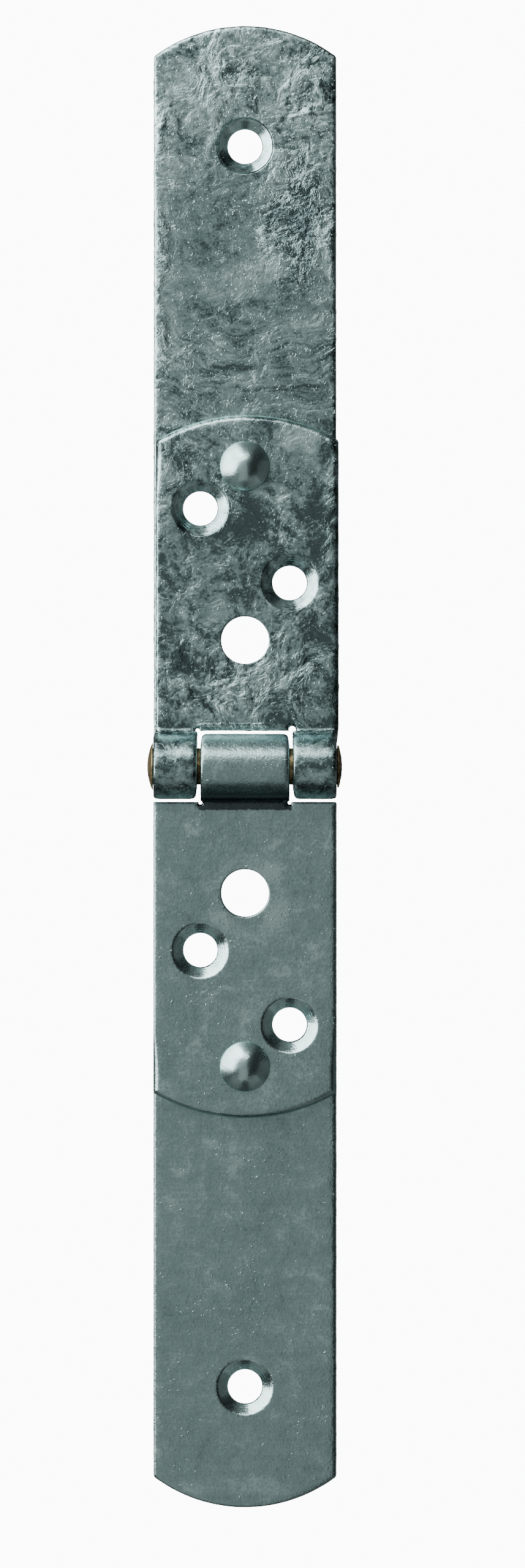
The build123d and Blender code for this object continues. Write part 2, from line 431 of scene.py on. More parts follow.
class Blank:
    """A strap before it is folded: x across, s along, n from its middle layer outwards."""

    def __init__(self, sizes, windowed):
        self.sizes = sizes
        strip = (sizes.thickness, sizes.fold_gap, sizes.crease_radius)
        self.fold = Fold(*strip, PIN_AXIS_HEIGHT, math.atan2)
        self.cut_reach = PIN_AXIS_HEIGHT + sizes.end_gap
        self.half_width = LEAF_HIGH.x
        self.windowed = windowed
        self.loops = self.outlines() + self.holes()
        self.triangulate()

    def cut_side(self, edge, opens, nibble):
        """One side of a cut-out, from its end on the strap to its end on the crease.

        A corner relief, of radius nibble, bites past the side at each end. Opens is 1 where the
        cut-out lies outside of this side, and -1 where it lies towards the strap's middle.
        """
        centre = self.cut_reach + nibble / 2
        turns = np.radians(np.linspace(-30, 270, 22))
        arc = [(edge + opens * nibble * math.cos(a), centre + nibble * math.sin(a)) for a in turns]
        on_strap = [(x, -reach) for x, reach in arc]
        on_crease = [(x, self.fold.on_crease(reach)) for x, reach in reversed(arc)]
        return on_strap, on_crease

    def outlines(self):
        """The outer edge, and the window where there is one."""
        sizes, fold = self.sizes, self.fold
        step = sizes.mesh_step
        strap_end = arc_end(
            LEAF_HIGH.y, sizes.strap_end_radius, self.half_width, sizes.corner_round, step
        )
        tab_end = arc_end(
            sizes.tab_reach, sizes.tab_end_radius, self.half_width, sizes.corner_round, step
        )
        strap_end = [(x, -reach) for x, reach in strap_end]
        tab_end = [(x, fold.on_tab(reach)) for x, reach in reversed(tab_end)]
        rim = sizes.edge_round
        bend = 0.4 * MM
        middle = sizes.middle_width / 2
        if self.windowed:
            edge = middle + sizes.side_gap
            right = list(self.cut_side(edge, -1, sizes.wide_relief))
            left = mirrored(self.cut_side(edge, -1, sizes.relief_radius))
            window = chain(right + left, step)
            outline = []
            for x, s in chain([strap_end, tab_end], step):
                share = (s - fold.roll_length) / (fold.tab_start - fold.roll_length)
                outline.append((x + sizes.stagger * min(max(share, 0), 1), s))
            return [Loop(outline, False, rim), Loop(window, True, rim)]
        on_strap, on_crease = self.cut_side(middle, 1, sizes.relief_radius)
        side = self.half_width
        below, above = -self.cut_reach, fold.on_crease(self.cut_reach)
        lower = softened((side, below), (side, below - 1), (0, below), bend)
        upper = softened((side, above), (0, above), (side, above + 1), bend)
        right = [lower, on_strap, on_crease, upper]
        outline = chain([strap_end] + right + [tab_end] + mirrored(right), step)
        return [Loop(outline, False, rim)]

    def holes(self):
        """The edges of the round holes, most of which go through the strap and through the tab."""
        sizes, fold = self.sizes, self.fold
        snug, bolt_rim, rivet_rim = 0.12 * MM, 0.3 * MM, 0.02 * MM
        pairs = ((sizes.screw_offset, sizes.near_reach), (-sizes.screw_offset, sizes.far_reach))
        self.sinks = [((x, fold.on_tab(reach)), OUTER) for x, reach in pairs]
        self.sinks.append(((0, -sizes.end_reach), INNER))
        places = [(middle, sizes.screw_radius, snug) for middle, _ in self.sinks]
        places += [((x, -reach), sizes.screw_radius, snug) for x, reach in pairs]
        for reach, radius, rim in (
            (sizes.bolt_reach, sizes.bolt_radius, bolt_rim),
            (sizes.rivet_reach, sizes.rivet_hole_radius, rivet_rim),
        ):
            places += [((0, s), radius, rim) for s in (-reach, fold.on_tab(reach))]
        loops = []
        for (x, s), radius, rim in places:
            turns = ring_turns(radius)
            ring = [(x + radius * math.cos(a), s + radius * math.sin(a)) for a in turns]
            loops.append(Loop(ring, True, rim))
        return loops

    def front_rounding(self, loop, along):
        """How far a loop's front rim rounds at those places along the strap."""
        if loop is not self.loops[0]:
            return np.full(len(along), loop.rim)
        end = self.fold.on_tab(self.sizes.tab_reach)
        sharper, rounder = 16 * MM, 10 * MM
        stretch = (end - sharper, end - rounder)
        return np.interp(along, stretch, (loop.rim, self.sizes.tab_round))

    def rings(self):
        """Places at steps in from each edge, so that its rounding comes out round."""
        rings = []
        least, sink_room, clear_share = 0.1 * MM, 0.2 * MM, 0.9
        for loop in self.loops:
            reach = np.maximum(self.front_rounding(loop, loop.points[:, 1]), least)
            shares = (0.08, 0.3, 0.6, 1.0)
            if loop.rim == self.sizes.edge_round:
                shares += (1.8, 2.8)  # for the slump further in
            for share in shares:
                step = reach[:, None] * share
                rings.append((loop.points + loop.inward * step, reach * share))
        for (x, s), _ in self.sinks:
            for radius in SINK_RINGS:
                turns = ring_turns(radius * MM) + radius
                ring = np.column_stack([np.cos(turns), np.sin(turns)]) * radius * MM + (x, s)
                rings.append((ring, np.full(len(ring), sink_room)))
        kept = []
        for points, reach in rings:
            nearest = np.min([loop.distance(points) for loop in self.loops], axis=0)
            kept.append(points[nearest > clear_share * reach])
        return np.vstack(kept)

    def lattice(self, taken):
        """Evenly spread places over the rest of the metal."""
        step, clear_share = self.sizes.mesh_step, 0.62
        low, high = self.loops[0].points.min(0), self.loops[0].points.max(0)
        rows = np.arange(low[1], high[1], step * math.sqrt(0.75))
        places = []
        for i, s in enumerate(rows):
            across = np.arange(low[0] + (i % 2) * step / 2, high[0], step)
            places.append(np.column_stack([across, np.full(len(across), s)]))
        places = np.vstack(places)
        places = places[self.loops[0].holds(places)]
        for loop in self.loops[1:]:
            places = places[~loop.holds(places)]
        tree = search_tree(taken)
        apart = np.array([tree.find((x, s, 0))[2] for x, s in places])
        return places[apart > clear_share * step]

    def triangulate(self):
        """Fills the metal between the edges with triangles."""
        edges, rims, count = [], [], 0
        for loop in self.loops:
            ids = list(range(count, count + len(loop.points)))
            edges += list(zip(ids, ids[1:] + ids[:1]))
            rims.append(loop.points)
            count += len(ids)
        rims = np.vstack(rims)
        rings = self.rings()
        places = np.vstack([rims, rings, self.lattice(np.vstack([rims, rings]))])
        coords = [Vector(place) for place in places]
        found = geometry.delaunay_2d_cdt(coords, edges, [], 0, 1e-7)
        first = {}
        for new, sources in enumerate(found[3]):
            for old in sources:
                first[old] = new
        if len(first) != len(places) or len(found[0]) != len(places):
            raise ValueError("The blank has two edge points in one place")
        self.places = np.array(found[0])
        self.edge_ids = []
        start = 0
        for loop in self.loops:
            self.edge_ids.append([first[start + i] for i in range(len(loop.points))])
            start += len(loop.points)
        on_edge = np.zeros(len(places), bool)
        on_edge[[i for ids in self.edge_ids for i in ids]] = True
        faces = np.array(found[2])
        unsure = on_edge[faces].all(1)
        middles = self.places[faces].mean(1)
        metal = self.loops[0].holds(middles[unsure])
        for loop in self.loops[1:]:
            metal &= ~loop.holds(middles[unsure])
        keep = ~unsure
        keep[unsure] = metal
        self.faces = faces[keep]

    def skins(self):
        """Heights of both skins, and how far off a rim, an edge and a countersink's axis are."""
        half = self.sizes.thickness / 2
        outer = np.full(len(self.places), half)
        inner = np.full(len(self.places), -half)
        rim = np.full(len(self.places), np.inf)
        edge = np.full(len(self.places), np.inf)
        for loop, ids in zip(self.loops, self.edge_ids):
            away = loop.distance(self.places)
            away[ids] = 0
            outer -= rounding(away, self.front_rounding(loop, self.places[:, 1]))
            inner += rounding(away, loop.rim)
            edge = np.minimum(edge, away)
            if loop.rim == self.sizes.edge_round:
                rim = np.minimum(rim, away)
        slump_width = 1.5 * MM
        slump = np.clip(1 - rim / slump_width, 0, 1) ** 2 * self.sizes.slump
        outer -= slump
        inner += slump
        cones = np.full((2, len(self.places)), FAR_OFF)
        for (x, s), skin in self.sinks:
            away = np.hypot(self.places[:, 0] - x, self.places[:, 1] - s)
            cones[skin] = np.minimum(cones[skin], away)
            if skin == OUTER:
                outer -= countersink(away, self.sizes)
            else:
                inner += countersink(away, self.sizes)
        return outer, inner, rim, edge, cones

    def upright(self, skin, edge):
        """Leans the places near a cut across the crease, so that the cut stands upright."""
        fold = self.fold
        along = self.places[:, 1].copy()
        turn = (along - fold.roll_length) / fold.crease
        on_crease = (turn > 0) & (along < fold.tab_start)
        reach = fold.crease_reach + fold.crease * np.cos(math.pi + fold.tilt + turn)
        lean = np.clip((fold.crease_reach - reach) / (fold.crease - skin), 0, 0.98)
        target = fold.roll_length + fold.crease * (math.pi / 2 - fold.tilt - np.arcsin(lean))
        width, start, ramp = 2.5 * MM, 6.0 * MM, 0.4 * MM
        near = np.clip(1 - edge / width, 0, 1) * np.clip((reach - start) / ramp, 0, 1)
        along[on_crease] += ((target - along) * near)[on_crease]
        return along

    def mesh(self, name):
        """The blank as a closed mesh, with its distances from rims and cones as attributes."""
        outer, inner, rim, edge, cones = self.skins()
        across = self.places[:, 0]
        front = np.column_stack([across, self.upright(outer, edge), outer])
        back = np.column_stack([across, self.upright(inner, edge), inner])
        points = [front, back]
        far = [rim, rim]
        cones = list(cones)
        count = 2 * len(front)
        faces = [tuple(face) for face in self.faces]
        faces += [tuple(face[::-1] + len(front)) for face in self.faces]
        for ids in self.edge_ids:
            ids = np.array(ids)
            rows = [ids + len(front)]
            for share in (0.33, 0.67):
                points.append(back[ids] * (1 - share) + front[ids] * share)
                far.append(np.zeros(len(ids)))
                cones.append(np.full(len(ids), FAR_OFF))
                rows.append(np.arange(count, count + len(ids)))
                count += len(ids)
            rows.append(ids)
            for low, high in zip(rows, rows[1:]):
                faces += list(zip(low, np.roll(low, -1), np.roll(high, -1), high))
        mesh = bpy.data.meshes.new(name)
        mesh.from_pydata(np.vstack(points).tolist(), [], [list(map(int, f)) for f in faces])
        for name, values in (("rim", far), ("cone", cones)):
            mesh.attributes.new(name, "FLOAT", "POINT").data.foreach_set("value", np.hstack(values))
        mesh.update()
        return mesh


def tree_with(name, inputs):
    """A geometry tree and the wires of its inputs, each named with its default or its type."""
    tree = bpy.data.node_groups.new(name, "GeometryNodeTree")
    for title, start in inputs.items():
        kind = start if isinstance(start, str) else "Float"
        socket = tree.interface.new_socket(title, in_out="INPUT", socket_type="NodeSocket" + kind)
        if kind == "Float":
            socket.default_value = start
    tree.interface.new_socket("Geometry", in_out="OUTPUT", socket_type="NodeSocketGeometry")
    graph = Graph(tree)
    group = tree.nodes.new("NodeGroupInput")
    return graph, {title: Wire(graph, group.outputs[title]) for title in inputs}


def finish_tree(graph, shape, material):
    """Ends a geometry tree with real, smooth geometry in its material, and returns it."""
    real = graph.add("GeometryNodeRealizeInstances", {}, {"Geometry": shape})
    smooth = graph.add("GeometryNodeSetShadeSmooth", {}, {"Geometry": real})
    dressed = graph.add("GeometryNodeSetMaterial", {}, {"Geometry": smooth, "Material": material})
    end = graph.tree.nodes.new("NodeGroupOutput")
    graph.plug(end.inputs["Geometry"], dressed)
    return graph.tree


def roughened(graph, given, shape, weight=1.0):
    """The shape with its skin sunk between soft lumps and small pimples of zinc."""
    seed, lump = given["Seed"], given["Lump"]
    place = graph.add("GeometryNodeInputPosition")
    drift = {"X": seed * 0.37, "Y": seed * 0.11, "Z": seed}
    moved = graph.vector("ADD", place, graph.add("ShaderNodeCombineXYZ", {}, drift))
    swell, grain = (
        graph.add("ShaderNodeTexNoise", {}, {"Vector": moved, "Scale": rate / lump, "Detail": 2.0})
        for rate in (1.0, 4.0)
    )
    cells = graph.add("ShaderNodeTexVoronoi", {}, {"Vector": moved, "Scale": 2.4 / lump})
    pimple = graph.fade(cells, 0.3, 0.08)
    relief = (swell * 0.55 + grain * 0.55 - pimple * 0.35).clamp()
    normal = graph.add("GeometryNodeInputNormal")
    sunk = graph.vector("SCALE", normal, scale=0 - relief * weight * given["Relief"])
    return graph.add("GeometryNodeSetPosition", {}, {"Geometry": shape, "Offset": sunk})


def fold_tree():
    """Folds a flat blank round the pin, creases it, lays the tab flat and gives it its zinc."""
    graph, given = tree_with(
        "Fold strap",
        {
            "Blank": "Geometry",
            "Thickness": 2.7 * MM,
            "Fold gap": 0.15 * MM,
            "Crease radius": 1.5 * MM,
            "Pin axis height": PIN_AXIS_HEIGHT,
            "Draw-in": 0.4 * MM,
            "Cut edge": 9.0 * MM,
            "Fixed edge": 17.5 * MM,
            "Turn": 0.0,
            "Relief": 0.08 * MM,
            "Lump": 6.0 * MM,
            "Seed": 1.0,
            "Finish": "Material",
        },
    )
    strip = (given["Thickness"], given["Fold gap"], given["Crease radius"])
    axis = given["Pin axis height"]
    fold = Fold(*strip, axis, functools.partial(graph.maths, "ARCTAN2"))
    across, along, outward = graph.add("GeometryNodeInputPosition").split()

    turned = along / fold.roll
    radius = fold.roll + outward
    roll_y = 0 - radius * turned.sine()
    roll_z = axis - radius * turned.cosine()
    bent = (along - fold.roll_length) / fold.crease + fold.tilt + math.pi
    hollow = fold.crease - outward
    crease_y = fold.crease_reach + hollow * bent.cosine()
    crease_z = fold.crease_height + hollow * bent.sine()
    tab_y = fold.crease_reach + along - fold.roll_length - fold.crease_length
    tab_z = fold.tab_height + outward

    y, z = 0 - along, fold.half - outward
    for edge, new_y, new_z in (
        (0.0, roll_y, roll_z),
        (fold.roll_length, crease_y, crease_z),
        (fold.tab_start, tab_y, tab_z),
    ):
        past = along > edge
        y = past.choose(y, new_y)
        z = past.choose(z, new_z)

    drawn = ((0 - y - axis / 2) / (axis / 2)).clamp() ** 2 * given["Draw-in"]
    fixed = given["Fixed edge"]
    room = (fixed - given["Cut edge"]).absolute()
    pulled = fixed + (across.absolute() - fixed) * (1 - drawn / room)
    x = across.sign() * pulled
    folded = graph.add("ShaderNodeCombineXYZ", {}, {"X": x, "Y": y, "Z": z})
    swung = graph.add(
        "ShaderNodeVectorRotate",
        {"rotation_type": "Z_AXIS"},
        {"Vector": folded, "Angle": given["Turn"]},
    )
    moved = {"Geometry": given["Blank"], "Position": swung}
    strap = graph.add("GeometryNodeSetPosition", {}, moved)

    rim = graph.add("GeometryNodeInputNamedAttribute", {"data_type": "FLOAT"}, {"Name": "rim"})
    ragged = 1 + graph.fade(rim, 1.0 * MM, 0.0) * 1.2  # deeper along the cut edges
    return finish_tree(graph, roughened(graph, given, strap, ragged), given["Finish"])


def apply_tree(piece, tree, values):
    """Runs a geometry tree on a piece with those named inputs, and keeps the plain result."""
    modifier = piece.modifiers.new(tree.name, "NODES")
    modifier.node_group = tree
    for item in tree.interface.items_tree:
        if item.in_out == "INPUT" and item.name in values:
            modifier[item.identifier] = values[item.name]
    bpy.context.view_layer.update()
    graph = bpy.context.evaluated_depsgraph_get()
    shaped = bpy.data.meshes.new_from_object(piece.evaluated_get(graph))
    piece.modifiers.remove(modifier)
    flat = piece.data
    piece.data = shaped
    bpy.data.meshes.remove(flat)
    shaped.name = piece.name


def new_piece(name, mesh):
    """A new object in the scene that shows that mesh."""
    piece = bpy.data.objects.new(name, mesh)
    bpy.context.scene.collection.objects.link(piece)
    return piece


def mount(piece, body, node):
    """Lets a piece ride on a body instead of a CAD node, which it hides."""
    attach(piece, body)
    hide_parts(node)


def turned_mesh(name, profile, steps):
    """A closed mesh turned about Z from (radius, height) points, the first and last on the axis."""
    points = [(0, 0, profile[0][1])]
    rings = profile[1:-1]
    for radius, height in rings:
        for i in range(steps):
            turn = 2 * math.pi * i / steps
            points.append((radius * math.cos(turn), radius * math.sin(turn), height))
    points.append((0, 0, profile[-1][1]))
    last = len(points) - 1
    faces = []
    for i in range(steps):
        j = (i + 1) % steps
        faces.append((0, 1 + j, 1 + i))
        for k in range(len(rings) - 1):
            low, high = 1 + k * steps, 1 + (k + 1) * steps
            faces.append((low + i, low + j, high + j, high + i))
        top = 1 + (len(rings) - 1) * steps
        faces.append((top + i, top + j, last))
    mesh = bpy.data.meshes.new(name)
    mesh.from_pydata(points, [], faces)
    return mesh


def dome(radius, low, high, steps):
    """Profile points of a dome from its rim at that radius and height up to its crown."""
    rise = high - low
    sphere = (radius**2 + rise**2) / (2 * rise)
    spread = math.asin(min(1, radius / sphere))
    turns = np.linspace(spread, 0, steps)
    return [(sphere * math.sin(a), high - sphere + sphere * math.cos(a)) for a in turns]


def turned_tree():
    """Roughens a small turned piece and sets it in its place."""
    graph, given = tree_with(
        "Set turned piece",
        {
            "Turned piece": "Geometry",
            "Place": "Vector",
            "Relief": 0.05 * MM,
            "Lump": 3.0 * MM,
            "Seed": 1.0,
            "Finish": "Material",
        },
    )
    shaped = roughened(graph, given, given["Turned piece"])
    spot = graph.add("GeometryNodePoints", {}, {"Count": 1, "Position": given["Place"]})
    placed = graph.add("GeometryNodeInstanceOnPoints", {}, {"Points": spot, "Instance": shaped})
    return finish_tree(graph, placed, given["Finish"])


class Finish(Graph):
    """A material whose nodes end in one Principled shader."""

    def __init__(self, name):
        self.material = bpy.data.materials.new(name)
        self.material.use_nodes = True
        super().__init__(self.material.node_tree)
        self.shader = self.tree.nodes["Principled BSDF"]
        self.place = self.add("ShaderNodeTexCoord", out="Object")

    def paint(self, **values):
        """Sets or links the shader's sockets, named with underscores for their spaces."""
        for name, value in values.items():
            self.plug(self.shader.inputs[name.replace("_", " ")], value)
        return self.material

    def bump(self, height, depth):
        """A Bump node for a relief that is that many metres deep."""
        values = {"Height": height, "Strength": 1.0, "Distance": depth}
        return self.add("ShaderNodeBump", {}, values)

    def swirl(self, place, x, y):
        """The same place as its distance from a centre, and as its arc on a circle round it."""
        arc_radius = 20 * MM
        across, along, _ = self.vector("SUBTRACT", place, (x * MM, y * MM, 0)).split()
        turn = self.maths("ARCTAN2", along, across)
        radius = (across**2 + along**2) ** 0.5
        return self.add("ShaderNodeCombineXYZ", {}, {"X": radius, "Y": turn * arc_radius})

    def attribute(self, name):
        """A number that the mesh carries."""
        return self.add("ShaderNodeAttribute", {"attribute_name": name}, out="Fac")

    def stretched(self, place, scale, angle=0.0):
        """The same place with its axes scaled, and turned about Z."""
        return self.add(
            "ShaderNodeMapping", {}, {"Vector": place, "Scale": scale, "Rotation": (0, 0, angle)}
        )


# Patches of the zinc: the place of each in millimetres, its half widths, and its strength.
# Spots are lighter, or darker below 0, and two of the upper ones paint a highlight on the tab's
# end. Stains are dark, and crusty spots are lumpy.
UPPER_SPOTS_AND_HIGHLIGHTS = (
    ((-12, 128), (8, 12), 0.1),
    ((15.5, 98), (2.5, 9), 0.35),
    ((5, 95), (4, 2.5), 0.32),
    ((-15.5, 92), (3.5, 34), 0.18),
    ((4, 80), (3.5, 2.5), 0.2),
    ((-14, 80), (3, 5), 0.15),
    ((-15, 55), (2.5, 10), 0.22),
    ((6.5, 43.5), (1.2, 1.8), 0.4),
    ((13, 59), (1, 2), 0.4),
    ((-3, 50), (2, 4), 0.2),
    ((2, 16), (9, 5), 0.42),
    ((6, 22), (4, 4), 0.15),
    ((0, 44), (9, 14), -0.12),
    ((12, 45), (5, 16), -0.12),
    ((-2, 92), (10, 5), 0.34),
    ((10, 84), (5, 3), 0.25),
    ((0, 60), (12, 5), 0.1),
    # painted highlight: these two spots lighten the rounded rim along the tab's end
    ((-2, 66.6), (8, 1.3), 0.45),
    ((-12, 65), (5, 1.3), 0.45),
    ((11, 61), (4, 3), 0.25),
    ((10, 132), (4, 3), 0.3),
)
UPPER_STAINS = (
    ((8.5, 104), (5, 9), 1.0),
    ((-12, 137), (5, 2), 1.0),
    ((3, 132), (3, 2), 0.7),
    ((-3, 76), (6, 2), 0.6),
    ((10, 71), (8, 4), 0.5),
    ((14.5, 42), (3, 5), 0.7),
    ((-11, 21), (4.5, 4.5), 0.95),
    ((13.5, 23), (3.5, 7), 0.7),
    ((-13, 36), (4, 5), 0.4),
    ((2, 60), (5, 2), 0.4),
)
LOWER_SPOTS = (
    ((0, -24), (8, 8), 0.12),
    ((6, -29), (3, 5), 0.2),
    ((-15, -62), (3, 3), 0.2),
    ((2, -64), (5, 2), 0.15),
    ((-14, -84), (4, 8), 0.18),
    ((10, -88), (5, 6), 0.1),
    ((-2, -74), (6, 3), 0.12),
    ((5, -106), (4, 3), 0.15),
    ((0, -137), (14, 2), 0.2),
)
CRUSTY_SPOTS = (
    ((10, 104), (8, 15), 0.9),
    ((12, 128), (6, 10), 0.4),
    ((-4, 132), (10, 8), 0.3),
    ((-16.5, 90), (2, 44), 0.5),
    ((16.5, 70), (1.5, 50), 0.4),
    ((2, 17), (13, 6), 0.4),
    ((-13, 58), (4, 6), 0.4),
    ((8, 44), (4, 4), 0.3),
    ((-5, 50), (6, 5), 0.35),
)


def spots(nodes, place, patches):
    """The sum of some soft, oval patches."""
    total = 0.0
    for (x, y), (wide, tall), share in patches:
        moved = nodes.add(
            "ShaderNodeMapping",
            {"vector_type": "TEXTURE"},
            {"Vector": place, "Location": (x * MM, y * MM, 0), "Scale": (wide * MM, tall * MM, 1)},
        )
        far = nodes.vector("LENGTH", moved, out="Value")
        total = nodes.fade(far, 1.25, 0.3) * share + total
    return total


def cone_rings(nodes):
    """Whether a place is in a countersink, and the rings that the tool turned there."""
    cone = nodes.attribute("cone")
    inside = nodes.fade(cone, 5.5 * MM, 5.1 * MM)
    pitch = 0.42 * MM
    wave = (cone * (2 * math.pi / pitch)).sine()
    return inside, wave * inside * nodes.noise(nodes.place, 3 * MM, 2.0, 0.5)


def varied(base, *parts):
    """A base value, with noises that vary it about their middle by their weights."""
    for noise, weight in parts:
        base = base + (noise - 0.5) * weight
    return base


def zinc_shades(nodes, look, light, dull, glossy):
    """Goes from dark to plain zinc over the first range of light, to bright over the second."""
    plain = nodes.blend(nodes.fade(light, *dull), tuple(look.dark), tuple(look.body))
    return nodes.blend(nodes.fade(light, *glossy), plain, tuple(look.bright))


def wiped_zinc_finish(look):
    """Hot-dip zinc on the upper strap: mottled, wiped in curves, crusty in its dark patches."""
    nodes = Finish("Wiped zinc")
    place = nodes.place
    _, along, _ = place.split()
    inside, rings = cone_rings(nodes)
    wander = nodes.add("ShaderNodeTexNoise", {}, {"Vector": place, "Scale": 90.0}, out="Color")
    sway = nodes.vector("SUBTRACT", wander, (0.5, 0.5, 0.5))
    swayed = nodes.vector("ADD", place, nodes.vector("SCALE", sway, scale=9 * MM))
    cloud = nodes.noise(place, 18 * MM, 2.0, 0.5)
    patch = nodes.noise(swayed, 6 * MM, 5.0, 0.7, 0.3)
    crust = nodes.noise(place, 1.1 * MM, 4.0, 0.7)
    grain = nodes.noise(place, 0.45 * MM, 2.0, 0.7)

    wipe = nodes.stretched(nodes.swirl(swayed, 3, 101), (1.0, 0.09, 1.0))
    lines = nodes.noise(wipe, 0.8 * MM, 3.0, 0.65)
    low_arcs = nodes.fade((along - 76 * MM).absolute(), 12 * MM, 5 * MM)
    brush = nodes.stretched(nodes.swirl(swayed, 30, 10), (1.0, 0.12, 1.0))
    strokes = nodes.noise(brush, 0.7 * MM, 3.0, 0.65)
    wiped = nodes.fade(cloud, 0.42, 0.58)
    curl = nodes.noise(swayed, 5 * MM, 4.0, 0.6, 1.0)
    wisp = nodes.fade((curl - 0.5).absolute(), 0.022, 0.0)
    wisp = wisp * nodes.fade(crust, 0.36, 0.56)
    swirls = nodes.noise(swayed, 3.2 * MM, 4.0, 0.65, 2.5)
    lumps = nodes.noise(swayed, 4.5 * MM, 2.0, 0.5, 0.5)
    blotch = nodes.noise(swayed, 2.6 * MM, 3.0, 0.55, 0.6)
    on_tab = nodes.fade(along, 69 * MM, 64 * MM)

    ends = nodes.fade(along, 106 * MM, 124 * MM)
    near_hole = nodes.fade(along, 32 * MM, 20 * MM) * nodes.fade(along, 7 * MM, 11 * MM)
    stain = varied(spots(nodes, swayed, UPPER_STAINS), (patch, 1.6), (crust, 0.6))
    stain = nodes.fade(stain, 0.34, 0.56)
    crusty = (spots(nodes, swayed, CRUSTY_SPOTS) + nodes.fade(patch, 0.55, 0.75) * 0.3).clamp()
    blobs = nodes.fade(nodes.noise(swayed, 1.5 * MM, 4.0, 0.7, 0.4), 0.4, 0.62)
    specks = nodes.fade(nodes.noise(place, 0.6 * MM, 1.0), 0.66, 0.74)
    scatter = nodes.noise(place, 3 * MM, 3.0, 0.6) + ends * 0.08 + crusty * 0.06
    specks = specks * nodes.fade(scatter, 0.44, 0.6)
    light = (
        varied(
            0.43 - on_tab * 0.12,
            (patch, 1.9 + on_tab * 0.8 + ends * 1.4),
            (blotch, on_tab * 1.4),
            (lines, 0.3 + low_arcs * 1.5),
            (strokes, wiped * 0.9),
            (crust, 0.8 + ends * 1.0),
            (grain, 1.1),
            (swirls, 0.2 + near_hole * 1.3),
            (blobs, 0.1 + crusty * 0.5 + ends * 0.2),
        )
        + wisp * nodes.fade(along, 90 * MM, 66 * MM) * 0.35
        + specks * (0.4 + ends * 0.5 + crusty * 0.4)
        + ends * 0.26
        # lighter and darker spots, and a painted highlight along the tab's end
        + spots(nodes, swayed, UPPER_SPOTS_AND_HIGHLIGHTS)
        - stain * 0.32
        + inside * 0.3
    ).clamp()

    crease = nodes.fade((along - 7.9 * MM + (crust - 0.5) * MM).absolute(), 0.5 * MM, 0.05 * MM)
    crease = crease * nodes.fade(patch, 0.42, 0.6)
    rough_skin = (
        crust * (0.12 + crusty * 0.2)
        + grain * (0.12 + crusty * 0.12 - on_tab * 0.06)
        + lines * (0.05 + low_arcs * 0.25)
        + strokes * (wiped * 0.1)
        + blobs * (0.06 + crusty * 0.35)
        + specks * (0.45 - on_tab * 0.2 + ends * 0.7 + crusty * 0.6)
        + wisp * 0.06
        + swirls * (0.1 + near_hole * 0.5)
        + lumps * (0.6 + ends * 2.1 + crusty * 1.5 + near_hole * 1.7)
    )
    relief = rough_skin * (1 - inside * 0.88) + rings * 0.03 + crease * 0.5
    return nodes.paint(
        Base_Color=zinc_shades(nodes, look, light, (-0.1, 0.5), (0.4, 1.1)),
        Metallic=1.0,
        Roughness=0.19 + light * 0.12 + on_tab * 0.03 - inside * 0.08,
        Normal=nodes.bump(relief, 0.2 * MM),
    )


def dull_zinc_finish(look):
    """Hot-dip zinc on the lower strap: even and dull, with a fine grain and soft lighter clouds."""
    nodes = Finish("Dull zinc")
    place = nodes.place
    across, along, _ = place.split()
    inside, rings = cone_rings(nodes)
    cloud = nodes.noise(place, 14 * MM, 3.0, 0.6)
    mottle = nodes.noise(place, 3.5 * MM, 5.0, 0.65, 0.6)
    crust = nodes.noise(place, 1.0 * MM, 3.0, 0.6)
    grain = nodes.noise(place, 0.45 * MM, 2.0, 0.6)
    smear = nodes.fade(mottle, 0.52, 0.72) * nodes.fade(cloud, 0.46, 0.6)
    scratch = nodes.noise(nodes.stretched(place, (0.1, 1.0, 1.0), 0.5), 0.6 * MM, 2.0, 0.5)
    bolt = nodes.vector("SUBTRACT", place, (0.6 * MM, -25.0 * MM, 5.5 * MM))
    washer_radius = 6.6 * MM
    ring = (nodes.vector("LENGTH", bolt, out="Value") - washer_radius).absolute()
    ring = nodes.fade(ring, 2.0 * MM, 0.6 * MM)
    glint = nodes.fade(nodes.noise(place, 0.6 * MM, 1.0), 0.68, 0.76)
    glint = glint * nodes.fade(nodes.noise(place, 5 * MM, 4.0, 0.65), 0.5, 0.62)
    light = (
        varied(0.66, (cloud, 0.5), (mottle, 0.6), (crust, 0.4), (grain, 0.6), (scratch, 0.25))
        + smear * 0.25
        + ring * 0.14
        + glint * 0.3
        + spots(nodes, place, LOWER_SPOTS) * 0.8
        + inside * 0.3
    ).clamp()
    shade = zinc_shades(nodes, look, light, (-0.1, 0.7), (0.6, 1.2))
    # Painted shade: a dark band over the lower side of the middle knuckle and its crease, where
    # shade falls.
    wobble = along + (crust - 0.5) * (0.8 * MM)
    crease_shade = nodes.fade(wobble, -8.4 * MM, -8.15 * MM) * nodes.fade(wobble, -3.2 * MM, -5.5 * MM)
    crease_shade = crease_shade * nodes.fade(across.absolute(), 9.2 * MM, 8.6 * MM)
    crease_shade_colour = (0.03, 0.034, 0.045)
    shade = nodes.blend(crease_shade * 0.85, shade, crease_shade_colour)
    rough_skin = crust * 0.45 + grain * 0.5 + mottle * 0.5 + glint * 0.6
    relief = rough_skin * (1 - inside * 0.4) + rings * 0.08
    return nodes.paint(
        Base_Color=shade,
        Metallic=1.0,
        Roughness=0.29 + (grain - 0.5) * 0.16 - inside * 0.08,
        Normal=nodes.bump(relief, 0.1 * MM),
    )


def rivet_finish(look):
    """Smooth zinc on the rivets, bright, with a few dull spots."""
    nodes = Finish("Rivet zinc")
    patch = nodes.noise(nodes.place, 4 * MM, 4.0, 0.55, 0.4)
    grain = nodes.noise(nodes.place, 0.5 * MM, 3.0, 0.6)
    skin = patch * 0.8 + grain * 0.2
    share = nodes.fade(skin, 0.2, 0.6)
    return nodes.paint(
        Base_Color=nodes.blend(share * 0.7, tuple(look.body), tuple(look.bright)),
        Metallic=1.0,
        Roughness=0.31 - share * 0.05,
        Normal=nodes.bump(skin, 0.1 * MM),
    )


